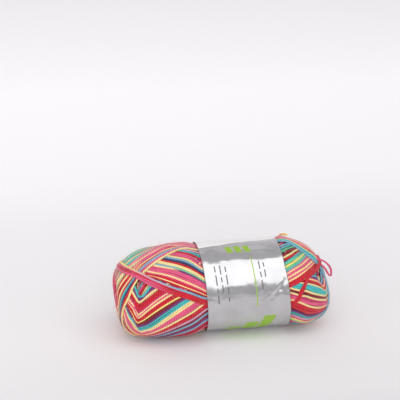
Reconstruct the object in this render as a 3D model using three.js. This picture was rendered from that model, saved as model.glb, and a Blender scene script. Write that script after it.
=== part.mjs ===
// A pull skein of fine acrylic yarn lying on its side, with a foil band round its waist.
// Millimetres, +Z up. X runs along the skein, and -Y is its front.
import * as THREE from "three";

// Sizes of the wound form, as reaches from its centre. Squareness is the power of its
// oval outline: a loose round end has a low one, and an end settled on a table a high one.
// Lean is how far each end slants over to the left at the top. The axis rises to the right.
const AXIS_HEIGHT = 31.7;
const AXIS_RISE = 0.01;
const LEFT = { reach: 70.4, lobeTop: 32.4, lobeFoot: 32.2, squareTop: 2.5, squareFoot: 5.2, lean: 4.1 };
const RIGHT = { reach: 72.4, lobeTop: 34.2, lobeFoot: 33.7, squareTop: 2.4, squareFoot: 4.2, lean: 5.4 };
const LEAN_POWER = 5;
const WAIST = 29.2;
const EYE_DEPTH = 5.0;
const EYE_RADIUS = 9.0;

// The band: its edges lean, because it sits askew on the skein
const BAND_LEFT = -13.5;
const BAND_LEFT_LEAN = 2.1;
const BAND_RIGHT = 41.4;
const BAND_RIGHT_LEAN = 3.2;
const BAND_THICK = 1.0;
const BAND_GRIP = 3.0;
const BAND_SWELL = 12.0;
const GAP = 0.4;
const BAND_STEPS_ALONG = 14;
const BAND_STEPS_ROUND = 48;
const OVERLAP_FROM = -118;
const OVERLAP_TO = -92;
const OVERLAP_RISE = 0.8;

const YARN = 1.5;
const ALONG_SEGMENTS = 54;
const GIRTH_SEGMENTS = 19;

// Bearings are in degrees: "reach" is measured from the left end of the axis,
// "round" from the top towards the front. A point is [reach, round].
function bearing(reach, round) {
  const a = THREE.MathUtils.degToRad(reach);
  const b = THREE.MathUtils.degToRad(round);
  return new THREE.Vector3(-Math.cos(a), -Math.sin(a) * Math.sin(b), Math.sin(a) * Math.cos(b));
}

function bandEdge(edge, lean, z) {
  return edge - lean * z / WAIST;
}

// How far a place lies outside the band's nearer edge, less than nothing under the band
function outsideBand(x, z) {
  const left = bandEdge(BAND_LEFT, BAND_LEFT_LEAN, z);
  const right = bandEdge(BAND_RIGHT, BAND_RIGHT_LEAN, z);
  return Math.max(left - x, x - right);
}

// The band draws the skein in to its waist, and the lobes swell out past its edges
function drawnIn(radius, x, z) {
  const free = THREE.MathUtils.smoothstep(outsideBand(x, z), -BAND_GRIP, BAND_SWELL);
  return THREE.MathUtils.lerp(WAIST, radius, free);
}

// Power and girth of the outline at one side of the axis: upward is 1 at the top and -1 at the foot
function squareness(end, upward) {
  return THREE.MathUtils.lerp(end.squareFoot, end.squareTop, 0.5 + 0.5 * upward);
}

function fullness(end, upward) {
  return THREE.MathUtils.lerp(end.lobeFoot, end.lobeTop, 0.5 + 0.5 * upward);
}

// A point of the plain wound form in a given direction from its centre:
// a blunt oval, drawn in at the band and at the eye of each end
function wound(direction) {
  const across = Math.max(Math.hypot(direction.y, direction.z), 1e-9);
  const side = { y: direction.y / across, z: direction.z / across };
  const end = direction.x < 0 ? LEFT : RIGHT;
  const power = squareness(end, side.z);
  const lobe = fullness(end, side.z);
  const size = (Math.abs(direction.x / end.reach) ** power + (across / lobe) ** power) ** (-1 / power);
  const x = direction.x * size;
  const radius = drawnIn(across * size, x, side.z * across * size);
  const eye = EYE_DEPTH * Math.exp(-((radius / EYE_RADIUS) ** 2));
  const z = side.z * radius;
  const leaning = end.lean * (Math.abs(x) / end.reach) ** LEAN_POWER * z / AXIS_HEIGHT;
  return new THREE.Vector3(x - Math.sign(x) * eye - leaning, side.y * radius, z);
}

// Outward direction of the plain wound form
const FEEL = 0.01;

function outward(direction) {
  const aside = new THREE.Vector3(0, 0, 1).cross(direction).normalize().multiplyScalar(FEEL);
  const above = direction.clone().cross(aside).normalize().multiplyScalar(FEEL);
  const here = wound(direction);
  const first = wound(direction.clone().add(aside).normalize()).sub(here);
  const second = wound(direction.clone().add(above).normalize()).sub(here);
  const normal = first.cross(second).normalize();
  return normal.dot(direction) < 0 ? normal.negate() : normal;
}

// Bundles of turns that stand out of the winding, each along its own line of bearings.
// A belt is wide with a firm edge, and a rib is one narrow rounded bundle.
const BELTS = [
  { name: "left over-turns", half: 7.5, edge: 3.0, rise: 2.0,
    line: [[75, -20], [51, -2], [38, -3], [30, 3], [22, 18], [17, 42], [12, 75], [13, 120], [19, 165], [32, -170], [60, -165]] },
  { name: "right over-turns", half: 6.5, edge: 3.0, rise: 1.8,
    line: [[118, -15], [143, -7], [152, 3], [160, 12], [166, 30], [170, 60], [168, 100], [163, 140], [150, 175], [120, -170]] },
];
const RIBS = [
  { name: "left top crossing", half: 3.6, rise: 1.6,
    line: [[30, -100], [20, -60], [17, -10], [19, 22], [24, 45], [31, 59], [41, 71], [52, 79], [65, 87], [85, 95]] },
  { name: "right crossing", half: 3.0, rise: 1.2,
    line: [[168, 20], [164, 44], [158, 58], [153, 67], [150, 78], [147, 87], [144, 95], [130, 110]] },
];
// Nested turns between the crossings: low rounded ribs, one for each group of like turns
const LOW_RIBS = [
  { half: 2.6, rise: 1.1, line: [[75, 38], [50, 54], [37, 70], [28, 88], [25, 93], [23, 88], [20, 74]] },
  { half: 2.6, rise: 1.1, line: [[80, 55], [45, 78], [31, 102], [25, 116], [23, 115], [20, 100]] },
  { half: 2.6, rise: 1.1, line: [[85, 68], [52, 85], [33, 118], [27, 133], [24, 129], [20, 115]] },
  { half: 2.6, rise: 1.1, line: [[88, 85], [66, 100], [40, 130], [30, 149], [25, 158], [20, 150]] },
  { half: 2.6, rise: 1.1, line: [[90, 115], [66, 122], [45, 145], [33, 170], [27, -170]] },
  { half: 2.6, rise: 1.1, line: [[22, -20], [32, 12], [43, 21], [64, 43], [85, 58]] },
  { half: 2.6, rise: 1.1, line: [[25, 10], [35, 28], [44, 38], [64, 56], [85, 72]] },
  { half: 2.6, rise: 1.1, line: [[24, 25], [32, 38], [50, 58], [65, 72], [85, 86]] },
  { half: 2.6, rise: 1.1, line: [[115, 60], [145, 42], [150, 32], [156, 20], [160, -10]] },
  { half: 2.6, rise: 1.1, line: [[115, 78], [145, 59], [153, 46], [158, 34], [163, 5]] },
  { half: 2.6, rise: 1.1, line: [[115, 92], [145, 75], [152, 66], [162, 47], [166, 10]] },
  { half: 2.6, rise: 1.1, line: [[115, 64], [145, 78], [151, 81], [157, 90], [162, 99], [166, 112]] },
  { half: 2.6, rise: 1.1, line: [[115, 76], [145, 93], [154, 104], [159, 114], [165, 122], [168, 100]] },
  { half: 2.6, rise: 1.1, line: [[115, 92], [145, 109], [151, 119], [157, 127], [164, 130]] },
  { half: 2.6, rise: 1.1, line: [[115, 112], [145, 128], [152, 141], [159, 147], [165, 134]] },
];

// Turns seen from behind cross in wide slanting bundles that lead round both ends
const REAR_BUNDLES = 7;
const REAR_START = 178;
const REAR_STEP = 26;
const REAR_REACH = 46;
for (let i = 0; i < REAR_BUNDLES; i += 1) {
  const low = REAR_START + i * REAR_STEP;
  LOW_RIBS.push({ half: 3.0, rise: 1.0,
    line: [[90, low], [62, low + 16], [REAR_REACH - 8, low + 34], [25, low + 62], [20, low + 90]] });
  LOW_RIBS.push({ half: 3.0, rise: 1.0,
    line: [[90, low], [118, low - 16], [180 - REAR_REACH + 8, low - 34], [155, low - 62], [160, low - 90]] });
}

const LINE_SAMPLES = 60;

// Lays a line of bearings on the wound form as a run of close points
function laid(line) {
  const curve = new THREE.CatmullRomCurve3(line.map(([reach, round]) => bearing(reach, round)));
  return curve.getPoints(LINE_SAMPLES).map((point) => wound(point.normalize()));
}

function distanceTo(run, point) {
  let nearest = Infinity;
  const segment = new THREE.Line3();
  const foot = new THREE.Vector3();
  for (let i = 1; i < run.length; i += 1) {
    segment.set(run[i - 1], run[i]);
    segment.closestPointToPoint(point, true, foot);
    nearest = Math.min(nearest, foot.distanceTo(point));
  }
  return nearest;
}

for (const bundle of [...BELTS, ...RIBS, ...LOW_RIBS]) {
  bundle.run = laid(bundle.line);
}

function beltRise(belt, point) {
  const inside = belt.half - distanceTo(belt.run, point);
  return belt.rise * THREE.MathUtils.smoothstep(inside, 0, belt.edge);
}

function ribRise(rib, point) {
  const share = distanceTo(rib.run, point) / rib.half;
  return share < 1 ? rib.rise * (1 - share * share) ** 2 : 0;
}

// Bundles are pressed flat under the band, and stand at their full height a little way off it
const PRESSED_MARGIN = 2.0;
const FREE_MARGIN = 8.0;

// The surface of the skein in a given direction, with its bundles raised
function surface(direction) {
  const plain = wound(direction);
  const free = THREE.MathUtils.smoothstep(outsideBand(plain.x, plain.z), PRESSED_MARGIN, FREE_MARGIN);
  if (free === 0) {
    return plain;
  }
  const belts = BELTS.reduce((sum, belt) => sum + beltRise(belt, plain), 0);
  const ribs = RIBS.reduce((sum, rib) => sum + ribRise(rib, plain), 0);
  const low = LOW_RIBS.reduce((most, rib) => Math.max(most, ribRise(rib, plain)), 0);
  const covered = Math.max(0, 1 - belts);
  return plain.addScaledVector(outward(direction), free * (belts + ribs + low * covered));
}

// From the middle of the axis to the skein's place on the table
function onAxis(point) {
  const lifted = point.clone();
  lifted.z += AXIS_HEIGHT + AXIS_RISE * point.x;
  return lifted;
}

// The skein rests on the flat that its weight presses along the foot of each lobe
function rested(point) {
  const lifted = onAxis(point);
  lifted.z = Math.max(lifted.z, 0);
  return lifted;
}

function buildBall() {
  const geometry = new THREE.BoxGeometry(2, 2, 2, ALONG_SEGMENTS, GIRTH_SEGMENTS, GIRTH_SEGMENTS);
  geometry.deleteAttribute("uv");
  geometry.deleteAttribute("normal");
  const place = geometry.getAttribute("position");
  const stretch = LEFT.reach / LEFT.lobeFoot;
  const point = new THREE.Vector3();
  for (let i = 0; i < place.count; i += 1) {
    point.fromBufferAttribute(place, i);
    const even = (v) => Math.tan(v * Math.PI / 4);
    const direction = new THREE.Vector3(even(point.x) * stretch, even(point.y), even(point.z)).normalize();
    const settled = rested(surface(direction));
    place.setXYZ(i, settled.x, settled.y, settled.z);
  }
  geometry.computeVertexNormals();
  return geometry;
}

// Creases pressed into the foil, each from one place to another as [x, round]
const CREASES = [
  { from: [37, 72], to: [16, 92], depth: 0.5, half: 3.0 },
  { from: [36, 84], to: [24, 74], depth: 0.4, half: 2.5 },
  { from: [41, 50], to: [33, 55], depth: 0.4, half: 2.5 },
  { from: [-12, 20], to: [36, 14], depth: 0.4, half: 3.0 },
];

function creaseDepth(x, round) {
  const arc = THREE.MathUtils.degToRad(1) * WAIST;
  const here = new THREE.Vector3(x, round * arc, 0);
  return CREASES.reduce((sum, crease) => {
    const start = new THREE.Vector3(crease.from[0], crease.from[1] * arc, 0);
    const end = new THREE.Vector3(crease.to[0], crease.to[1] * arc, 0);
    const share = distanceTo([start, end], here) / crease.half;
    return share < 1 ? sum + crease.depth * (1 - share * share) : sum;
  }, 0);
}

// Radius of the plain wound form at one place along the skein
function girth(x, round) {
  const end = x < 0 ? LEFT : RIGHT;
  const power = squareness(end, Math.cos(round));
  const lobe = fullness(end, Math.cos(round));
  const radius = lobe * (1 - Math.abs(x / end.reach) ** power) ** (1 / power);
  return drawnIn(radius, x, Math.cos(round) * radius);
}

// The band is one closed ring: an outer and an inner skin joined along both edges
function buildBand() {
  const columns = BAND_STEPS_ALONG + 1;
  const positions = [];
  const faces = [];
  for (let skin = 0; skin < 2; skin += 1) {
    for (let j = 0; j < BAND_STEPS_ROUND; j += 1) {
      const degrees = -180 + 360 * j / BAND_STEPS_ROUND;
      const round = THREE.MathUtils.degToRad(degrees);
      const height = Math.cos(round) * WAIST;
      const left = bandEdge(BAND_LEFT, BAND_LEFT_LEAN, height);
      const right = bandEdge(BAND_RIGHT, BAND_RIGHT_LEAN, height);
      const lapped = degrees > OVERLAP_FROM && degrees < OVERLAP_TO;
      for (let i = 0; i < columns; i += 1) {
        const x = left + (right - left) * i / BAND_STEPS_ALONG;
        let radius = girth(x, round) + GAP;
        if (skin === 0) {
          radius += BAND_THICK - creaseDepth(x, degrees) + (lapped ? OVERLAP_RISE : 0);
        }
        const place = onAxis(new THREE.Vector3(x, -Math.sin(round) * radius, Math.cos(round) * radius));
        positions.push(place.x, place.y, place.z);
      }
    }
  }
  const index = (skin, j, i) => (skin * BAND_STEPS_ROUND + (j % BAND_STEPS_ROUND)) * columns + i;
  const quad = (a, b, c, d) => faces.push(a, b, c, a, c, d);
  for (let j = 0; j < BAND_STEPS_ROUND; j += 1) {
    for (let i = 0; i < BAND_STEPS_ALONG; i += 1) {
      quad(index(0, j, i), index(0, j + 1, i), index(0, j + 1, i + 1), index(0, j, i + 1));
      quad(index(1, j, i), index(1, j, i + 1), index(1, j + 1, i + 1), index(1, j + 1, i));
    }
    const last = BAND_STEPS_ALONG;
    quad(index(0, j, 0), index(1, j, 0), index(1, j + 1, 0), index(0, j + 1, 0));
    quad(index(0, j, last), index(0, j + 1, last), index(1, j + 1, last), index(1, j, last));
  }
  const geometry = new THREE.BufferGeometry();
  geometry.setAttribute("position", new THREE.Float32BufferAttribute(positions, 3));
  geometry.setIndex(faces);
  geometry.computeVertexNormals();
  return geometry;
}

// The yarn's outer end comes out from under the band behind the skein
// and lies up over its right shoulder, where it is cut off square
const END_ROUTE = [
  [44.9, 31.1, 35.8], [45.1, 30.2, 40.1], [45.3, 28.9, 44.4], [45.4, 26.8, 48.3],
  [45.3, 24.1, 51.9], [45.4, 21.1, 55.0], [45.6, 18.1, 57.3], [46.1, 15.3, 59.1],
  [46.8, 12.8, 60.1], [47.7, 10.9, 60.5], [48.7, 9.5, 60.5],
];

function buildEnd() {
  const route = new THREE.CatmullRomCurve3(END_ROUTE.map((point) => new THREE.Vector3(...point)));
  const sides = 8;
  const section = new THREE.Shape();
  for (let i = 0; i < sides; i += 1) {
    const angle = 2 * Math.PI * i / sides;
    const x = Math.cos(angle) * YARN / 2;
    const y = Math.sin(angle) * YARN / 2;
    if (i === 0) {
      section.moveTo(x, y);
    } else {
      section.lineTo(x, y);
    }
  }
  return new THREE.ExtrudeGeometry(section, { steps: 12, extrudePath: route, curveSegments: 1 });
}

function piece(name, geometry, colour, roughness, metalness) {
  const mesh = new THREE.Mesh(geometry, new THREE.MeshStandardMaterial({ color: colour, roughness, metalness }));
  mesh.name = name;
  return mesh;
}

const skein = new THREE.Group();
skein.add(
  piece("yarn_ball", buildBall(), 0xd9556f, 0.85, 0.0),
  piece("foil_band", buildBand(), 0xc4c2c6, 0.3, 0.9),
  piece("loose_end", buildEnd(), 0xf2b84a, 0.85, 0.0),
);

// The origin is under the middle of the skein, on the surface that it lies on
const box = new THREE.Box3().setFromObject(skein.getObjectByName("yarn_ball"));
const middle = box.getCenter(new THREE.Vector3());
skein.position.set(-middle.x, -middle.y, 0);

export default skein;
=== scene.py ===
"""A pull skein of fine striped acrylic yarn, lying on its side in a foil paper band."""
import math

import bpy
import mathutils
import numpy as np
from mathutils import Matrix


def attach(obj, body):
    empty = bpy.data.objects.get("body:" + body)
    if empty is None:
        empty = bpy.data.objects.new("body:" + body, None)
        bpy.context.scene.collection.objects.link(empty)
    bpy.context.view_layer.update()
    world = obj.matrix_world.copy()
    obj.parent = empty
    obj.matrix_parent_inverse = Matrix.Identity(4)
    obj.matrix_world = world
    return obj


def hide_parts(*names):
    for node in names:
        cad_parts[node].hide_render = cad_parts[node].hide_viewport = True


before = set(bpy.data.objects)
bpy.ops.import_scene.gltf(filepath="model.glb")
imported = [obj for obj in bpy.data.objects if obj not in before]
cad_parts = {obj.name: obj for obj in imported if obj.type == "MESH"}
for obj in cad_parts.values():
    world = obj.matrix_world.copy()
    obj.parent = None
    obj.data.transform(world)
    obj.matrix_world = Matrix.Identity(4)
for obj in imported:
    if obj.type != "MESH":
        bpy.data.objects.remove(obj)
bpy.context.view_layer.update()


# Camera. A long lens from the front, a little to the left and above, about a step away.
# It is turned to one side and dipped by angles in degrees, and sees CAMERA_SIGHT metres.
CAMERA_PLACE = (-0.1598, -0.7770, 0.3346)
CAMERA_HEADING = -10.575
CAMERA_DIP = 17.046
CAMERA_LENS = 113.7
CAMERA_SENSOR = 36.0
CAMERA_SIGHT = 20.0


def placed(name, data):
    """A new object, put into the scene."""
    thing = bpy.data.objects.new(name, data)
    bpy.context.scene.collection.objects.link(thing)
    return thing


camera_data = bpy.data.cameras.new("camera")
camera_data.lens = CAMERA_LENS
camera_data.sensor_width = CAMERA_SENSOR
camera_data.clip_end = CAMERA_SIGHT
camera = placed("camera", camera_data)
camera.location = CAMERA_PLACE
camera.rotation_euler = (math.radians(90 - CAMERA_DIP), 0, math.radians(CAMERA_HEADING))
bpy.context.scene.camera = camera


# The loose end. The outer end of the yarn: a soft three-ply acrylic strand, dyed in long
# stripes. It comes out from among the turns behind the skein, lies up over the right
# shoulder beside the band, and is cut off square in a golden yellow stretch.
MM = 0.001
STRAND_WIDTH = 1.5 * MM
STRAND_THICK = 1.25 * MM
STRAND_SIDES = 8
# The yarn's look: its plies, the painted shade that darkens the grooves between them, how round
# their crests are, the shade and relief of its fine fibres, how unevenly it took its dye, and its surface.
PLY_LOOK = {"Plies": 3, "Pitch": 5.5 * MM, "Painted Groove Shade": 0.5}
CREST_POWER = 0.6
FIBRES = {"Scale": 2600, "Detail": 2}
FIBRE_SHADE = 0.5
FIBRE_RELIEF = 0.35
UNEVEN_DYE = {"Scale": 140, "Detail": 3}
UNEVEN_SHADE = 0.45
BRIGHTNESS = 1.04
YARN_SURFACE = {"Roughness": 0.62, "Specular IOR Level": 0.35, "Sheen Weight": 0.25,
                "Sheen Roughness": 0.45}
YARN_RELIEF = {"Strength": 0.7, "Distance": 0.12 * MM}
# The skein's middle on the table, the height of its axis, and the end's route from that
# middle, in millimetres. The strand starts END_TUCK off its route, in among the turns, and
# from the point END_OUT_FROM on it lies END_LIFT off it, on top of them.
SKEIN_MIDDLE = np.array((-1.62, 0.61, 0.0))
AXIS_HEIGHT = 31.7
END_ROUTE = (
    (44.9, 31.1, 35.8), (45.1, 30.2, 40.1), (45.3, 28.9, 44.4), (45.4, 26.8, 48.3),
    (45.3, 24.1, 51.9), (45.4, 21.1, 55.0), (45.6, 18.1, 57.3), (46.1, 15.3, 59.1),
    (46.8, 12.8, 60.1), (47.7, 10.9, 60.5), (48.7, 9.5, 60.5),
)
END_OUT_FROM = 2
END_TUCK = -1.3
END_LIFT = 0.5
END_STEPS = 30


def dye(red, green, blue):
    """A dyed colour, given as it looks on a screen, as the light that it sends back."""
    screen = np.array((red, green, blue)) / 255
    light = np.where(screen > 0.04045, ((screen + 0.055) / 1.055) ** 2.4, screen / 12.92)
    return np.append(light, 1.0)


DYES = {
    "pink": dye(232, 92, 134),
    "magenta": dye(206, 58, 112),
    "red": dye(208, 26, 48),
    "cream": dye(250, 226, 158),
    "lemon": dye(246, 228, 128),
    "turquoise": dye(74, 188, 190),
    "sky": dye(132, 178, 204),
    "green": dye(120, 200, 148),
    "violet": dye(128, 58, 122),
    "wine": dye(146, 22, 44),
    "lilac": dye(214, 166, 190),
    "gold": dye(255, 214, 112),
    "navy": dye(56, 66, 108),
    "rose": dye(238, 148, 164),
}


def unit(vectors):
    """The same directions, each one long."""
    return vectors / np.maximum(np.linalg.norm(vectors, axis=-1, keepdims=True), 1e-9)


def smooth_line(points, count):
    """A smooth line through the points, running straight on at both ends."""
    points = np.asarray(points, float)
    ends = np.vstack([2 * points[0] - points[1], points, 2 * points[-1] - points[-2]])
    place = np.linspace(0, len(points) - 1, count)
    first = np.minimum(place.astype(int), len(points) - 2)
    t = (place - first)[:, None]
    a, b, c, d = (ends[first + k] for k in range(4))
    bend = 2 * a - 5 * b + 4 * c - d
    return 0.5 * (2 * b + (c - a) * t + bend * t ** 2 + (3 * b - 3 * c + d - a) * t ** 3)


def lengths_along(line):
    """How far along a line each of its points lies."""
    steps = np.linalg.norm(np.diff(line, axis=0), axis=1)
    return np.concatenate([[0.0], np.cumsum(steps)])


def node_in(tree, kind, values=None, **settings):
    """Adds a node to a tree. Its values are numbers, colours, or sockets to link from."""
    node = tree.nodes.new(kind)
    for name, setting in settings.items():
        setattr(node, name, setting)
    for name, value in (values or {}).items():
        if isinstance(value, bpy.types.NodeSocket):
            tree.links.new(value, node.inputs[name])
        else:
            node.inputs[name].default_value = value
    return node


def maths_in(tree):
    """Gives a way to add maths nodes to a tree: an operation, then its values or sockets."""
    def maths(operation, *values):
        node = node_in(tree, "ShaderNodeMath", dict(enumerate(values)), operation=operation)
        return node.outputs[0]

    return maths


def new_group(name, kind, takes, gives):
    """A node group, what comes into it and what goes out. Each socket is (name, sort)."""
    tree = bpy.data.node_groups.new(name, kind)
    for way, sockets in (("INPUT", takes), ("OUTPUT", gives)):
        for socket, sort in sockets:
            tree.interface.new_socket(socket, in_out=way, socket_type="NodeSocket" + sort)
    return tree, tree.nodes.new("NodeGroupInput").outputs, tree.nodes.new("NodeGroupOutput").inputs


def new_material(name, surface):
    """A material with these values on its shader, its tree of nodes, and the shader."""
    material = bpy.data.materials.new(name)
    material.use_nodes = True
    shader = material.node_tree.nodes["Principled BSDF"]
    for socket, value in surface.items():
        shader.inputs[socket].default_value = value
    return material, material.node_tree, shader


def plied_yarn_group():
    """The look of plied yarn: grooves between the plies that wind round the strand,
    darkened in colour as painted shade, fine fibres along them, and dye that took a little unevenly."""
    group, given, result = new_group(
        "plied_yarn", "ShaderNodeTree",
        (("Tint", "Color"), ("Ring", "Vector"), ("Along", "Float"), ("Plies", "Float"),
         ("Pitch", "Float"), ("Painted Groove Shade", "Float")),
        (("Colour", "Color"), ("Height", "Float")))
    maths = maths_in(group)
    ring = node_in(group, "ShaderNodeSeparateXYZ", {0: given["Ring"]})
    round_strand = maths("ARCTAN2", ring.outputs["Y"], ring.outputs["X"])
    turned = maths("DIVIDE", maths("MULTIPLY", given["Along"], 2 * math.pi), given["Pitch"])
    phase = maths("MULTIPLY", maths("ADD", round_strand, turned), given["Plies"])
    crest = maths("POWER", maths("MULTIPLY_ADD", maths("COSINE", phase), 0.5, 0.5), CREST_POWER)

    place = node_in(group, "ShaderNodeTexCoord").outputs["Object"]
    fibres = node_in(group, "ShaderNodeTexNoise", {"Vector": place, **FIBRES}).outputs["Fac"]
    uneven = node_in(group, "ShaderNodeTexNoise", {"Vector": place, **UNEVEN_DYE}).outputs["Fac"]
    # Painted shade: the colour is darkened in the grooves between the plies, by how far from a crest.
    shade = maths("MULTIPLY_ADD", maths("SUBTRACT", crest, 1.0), given["Painted Groove Shade"], 1.0)
    fleck = maths("MULTIPLY_ADD", maths("SUBTRACT", fibres, 0.5), FIBRE_SHADE, 1.0)
    cloud = maths("MULTIPLY_ADD", maths("SUBTRACT", uneven, 0.5), UNEVEN_SHADE, BRIGHTNESS)
    value = maths("MULTIPLY", maths("MULTIPLY", shade, fleck), cloud)
    colour = node_in(group, "ShaderNodeHueSaturation", {"Color": given["Tint"], "Value": value})
    group.links.new(colour.outputs["Color"], result["Colour"])
    group.links.new(maths("MULTIPLY_ADD", fibres, FIBRE_RELIEF, crest), result["Height"])
    return group


plied_yarn = plied_yarn_group()


def yarn_material():
    """Acrylic yarn. Its strands carry their own tint, and the place round and along them."""
    material, tree, shader = new_material("striped_acrylic", YARN_SURFACE)
    look = node_in(tree, "ShaderNodeGroup", PLY_LOOK, node_tree=plied_yarn)
    for attribute, output, socket in (("tint", "Color", "Tint"), ("ring", "Vector", "Ring"),
                                      ("along", "Fac", "Along")):
        source = node_in(tree, "ShaderNodeAttribute", attribute_name=attribute)
        tree.links.new(source.outputs[output], look.inputs[socket])
    bump = node_in(tree, "ShaderNodeBump", {"Height": look.outputs["Height"], **YARN_RELIEF})
    tree.links.new(look.outputs["Colour"], shader.inputs["Base Color"])
    tree.links.new(bump.outputs["Normal"], shader.inputs["Normal"])
    return material


acrylic = yarn_material()


def end_tree(tree, geometry, material, result):
    """Ends a tree: what it made becomes one plain mesh of that material."""
    real = node_in(tree, "GeometryNodeRealizeInstances", {"Geometry": geometry})
    finish = node_in(tree, "GeometryNodeSetMaterial",
                     {"Geometry": real.outputs["Geometry"], "Material": material})
    tree.links.new(finish.outputs["Geometry"], result)
    return tree


def strand_tree():
    """Sweeps each line of the mesh into a closed strand of oval section, which lies
    flat along its "facing" and carries the place round it as "ring"."""
    tree, given, result = new_group(
        "sweep_strands", "GeometryNodeTree",
        (("Lines", "Geometry"), ("Width", "Float"), ("Thickness", "Float"), ("Sides", "Int"),
         ("Material", "Material")),
        (("Strands", "Geometry"),))
    curves = node_in(tree, "GeometryNodeMeshToCurve", {"Mesh": given["Lines"]})
    facing = node_in(tree, "GeometryNodeInputNamedAttribute", {"Name": "facing"},
                     data_type="FLOAT_VECTOR")
    laid_flat = node_in(tree, "GeometryNodeSetCurveNormal",
                        {"Curve": curves.outputs["Curve"], "Normal": facing.outputs["Attribute"]},
                        mode="FREE")
    section = node_in(tree, "GeometryNodeCurvePrimitiveCircle",
                      {"Radius": 1.0, "Resolution": given["Sides"]})
    place = node_in(tree, "GeometryNodeInputPosition")
    ring = node_in(tree, "GeometryNodeStoreNamedAttribute",
                   {"Geometry": section.outputs["Curve"], "Name": "ring",
                    "Value": place.outputs["Position"]}, data_type="FLOAT_VECTOR")
    size = node_in(tree, "ShaderNodeCombineXYZ", {"X": given["Thickness"], "Y": given["Width"]})
    half = node_in(tree, "ShaderNodeVectorMath", {0: size.outputs["Vector"], "Scale": 0.5},
                   operation="SCALE")
    oval = node_in(tree, "GeometryNodeTransform",
                   {"Geometry": ring.outputs["Geometry"], "Scale": half.outputs["Vector"]})
    sweep = node_in(tree, "GeometryNodeCurveToMesh",
                    {"Curve": laid_flat.outputs["Curve"], "Profile Curve": oval.outputs["Geometry"],
                     "Fill Caps": True})
    smooth = node_in(tree, "GeometryNodeSetShadeSmooth", {"Geometry": sweep.outputs["Mesh"]})
    return end_tree(tree, smooth.outputs["Geometry"], given["Material"], result["Strands"])


sweep_strands = strand_tree()


def made_by(tree, mesh, name, **inputs):
    """Runs a tree on a mesh, and keeps what it makes as a plain mesh object."""
    piece = placed(name, mesh)
    modifier = piece.modifiers.new("making", "NODES")
    modifier.node_group = tree
    for item in tree.interface.items_tree:
        if item.name in inputs:
            modifier[item.identifier] = inputs[item.name]
    graph = bpy.context.evaluated_depsgraph_get()
    result = bpy.data.meshes.new_from_object(
        piece.evaluated_get(graph), preserve_all_data_layers=True, depsgraph=graph)
    piece.modifiers.remove(modifier)
    piece.data = result
    result.name = name
    return piece


def store(mesh, name, kind, values):
    """Keeps a value for each point of a mesh: a vector, a colour or a number."""
    field = {"FLOAT_VECTOR": "vector", "FLOAT_COLOR": "color", "FLOAT": "value"}[kind]
    mesh.attributes.new(name, kind, "POINT").data.foreach_set(field, values.ravel())


def swept(name, lines, thickness=STRAND_THICK):
    """Strands along lines, each a tuple of places, facings, tints and lengths along."""
    places, facings, tints, alongs = (np.concatenate(part) for part in zip(*lines))
    edges = []
    start = 0
    for line in lines:
        count = len(line[0])
        steps = np.arange(start, start + count - 1)
        edges.append(np.stack([steps, steps + 1], 1))
        start += count
    mesh = bpy.data.meshes.new(name)
    mesh.from_pydata(places.tolist(), np.concatenate(edges).tolist(), [])
    store(mesh, "facing", "FLOAT_VECTOR", facings)
    store(mesh, "tint", "FLOAT_COLOR", tints)
    store(mesh, "along", "FLOAT", alongs)
    return made_by(sweep_strands, mesh, name,
                   Width=STRAND_WIDTH, Thickness=thickness, Sides=STRAND_SIDES, Material=acrylic)


end_route = np.array(END_ROUTE)
end_out = unit((end_route - (0.0, 0.0, AXIS_HEIGHT)) * (0.0, 1.0, 1.0))
end_height = np.interp(np.arange(len(end_route)), (0, END_OUT_FROM), (END_TUCK, END_LIFT))
end_line = smooth_line((end_route + end_out * end_height[:, None] + SKEIN_MIDDLE) * MM, END_STEPS)
end_facing = smooth_line(end_out, END_STEPS)
end_tints = np.tile(DYES["gold"], (len(end_line), 1))
loose_end = swept("yarn_loose_end", [(end_line, end_facing, end_tints, lengths_along(end_line))],
                  thickness=STRAND_WIDTH)
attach(loose_end, "root")
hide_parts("loose_end")
tuple(end_line[0])
[tuple(point) for point in end_line]


# The skein's wound form. Many turns of yarn, wound slanting round both ends into a blunt
# oval, that the band draws in at the waist and its own weight presses flat at the foot.
# Sizes from here to the band are in millimetres, from the middle of the skein's axis.
AXIS_RISE = 0.01
# Each end: how far out it reaches, its radius at the top and at the foot, how square its
# corner is at both, and how far its top leans to the left and its foot to the right.
LEFT_END = {"reach": 70.4, "top": 32.4, "foot": 32.2, "square_top": 2.5, "square_foot": 5.2, "lean": 4.1}
RIGHT_END = {"reach": 72.4, "top": 34.2, "foot": 33.7, "square_top": 2.4, "square_foot": 4.2, "lean": 5.4}
LEAN_POWER = 5
EYE_DEPTH = 5.0
EYE_RADIUS = 9.0
# The band: its edges at the height of the axis, and how much further left they lie at its
# top. The yarn swells out from BAND_GRIP inside each edge to BAND_SWELL outside it.
WAIST = 29.2
BAND_LEFT = -13.5
BAND_LEFT_LEAN = 2.1
BAND_RIGHT = 41.4
BAND_RIGHT_LEAN = 3.2
BAND_GRIP = 3.0
BAND_SWELL = 12.0


def smoothstep(value, low, high):
    """Goes smoothly from 0 at the low value to 1 at the high one."""
    share = np.clip((value - low) / (high - low), 0, 1)
    return share * share * (3 - 2 * share)


def band_edges(z):
    """Where the band's left and right edges lie at a height above the axis."""
    left = BAND_LEFT - BAND_LEFT_LEAN * z / WAIST
    right = BAND_RIGHT - BAND_RIGHT_LEAN * z / WAIST
    return left, right


def outside_band(x, z):
    """How far a place lies outside the band's nearer edge."""
    left, right = band_edges(z)
    return np.maximum(left - x, x - right)


def end_size(at_foot, at_top, leftward, upward):
    """One size of the end on that side, between what it is at the foot and at the top."""
    left = LEFT_END[at_foot] + (LEFT_END[at_top] - LEFT_END[at_foot]) * upward
    right = RIGHT_END[at_foot] + (RIGHT_END[at_top] - RIGHT_END[at_foot]) * upward
    return np.where(leftward, left, right)


def drawn_in(radius, x, z):
    """A radius of the skein, drawn in to the waist under the band."""
    return WAIST + (radius - WAIST) * smoothstep(outside_band(x, z), -BAND_GRIP, BAND_SWELL)


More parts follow.
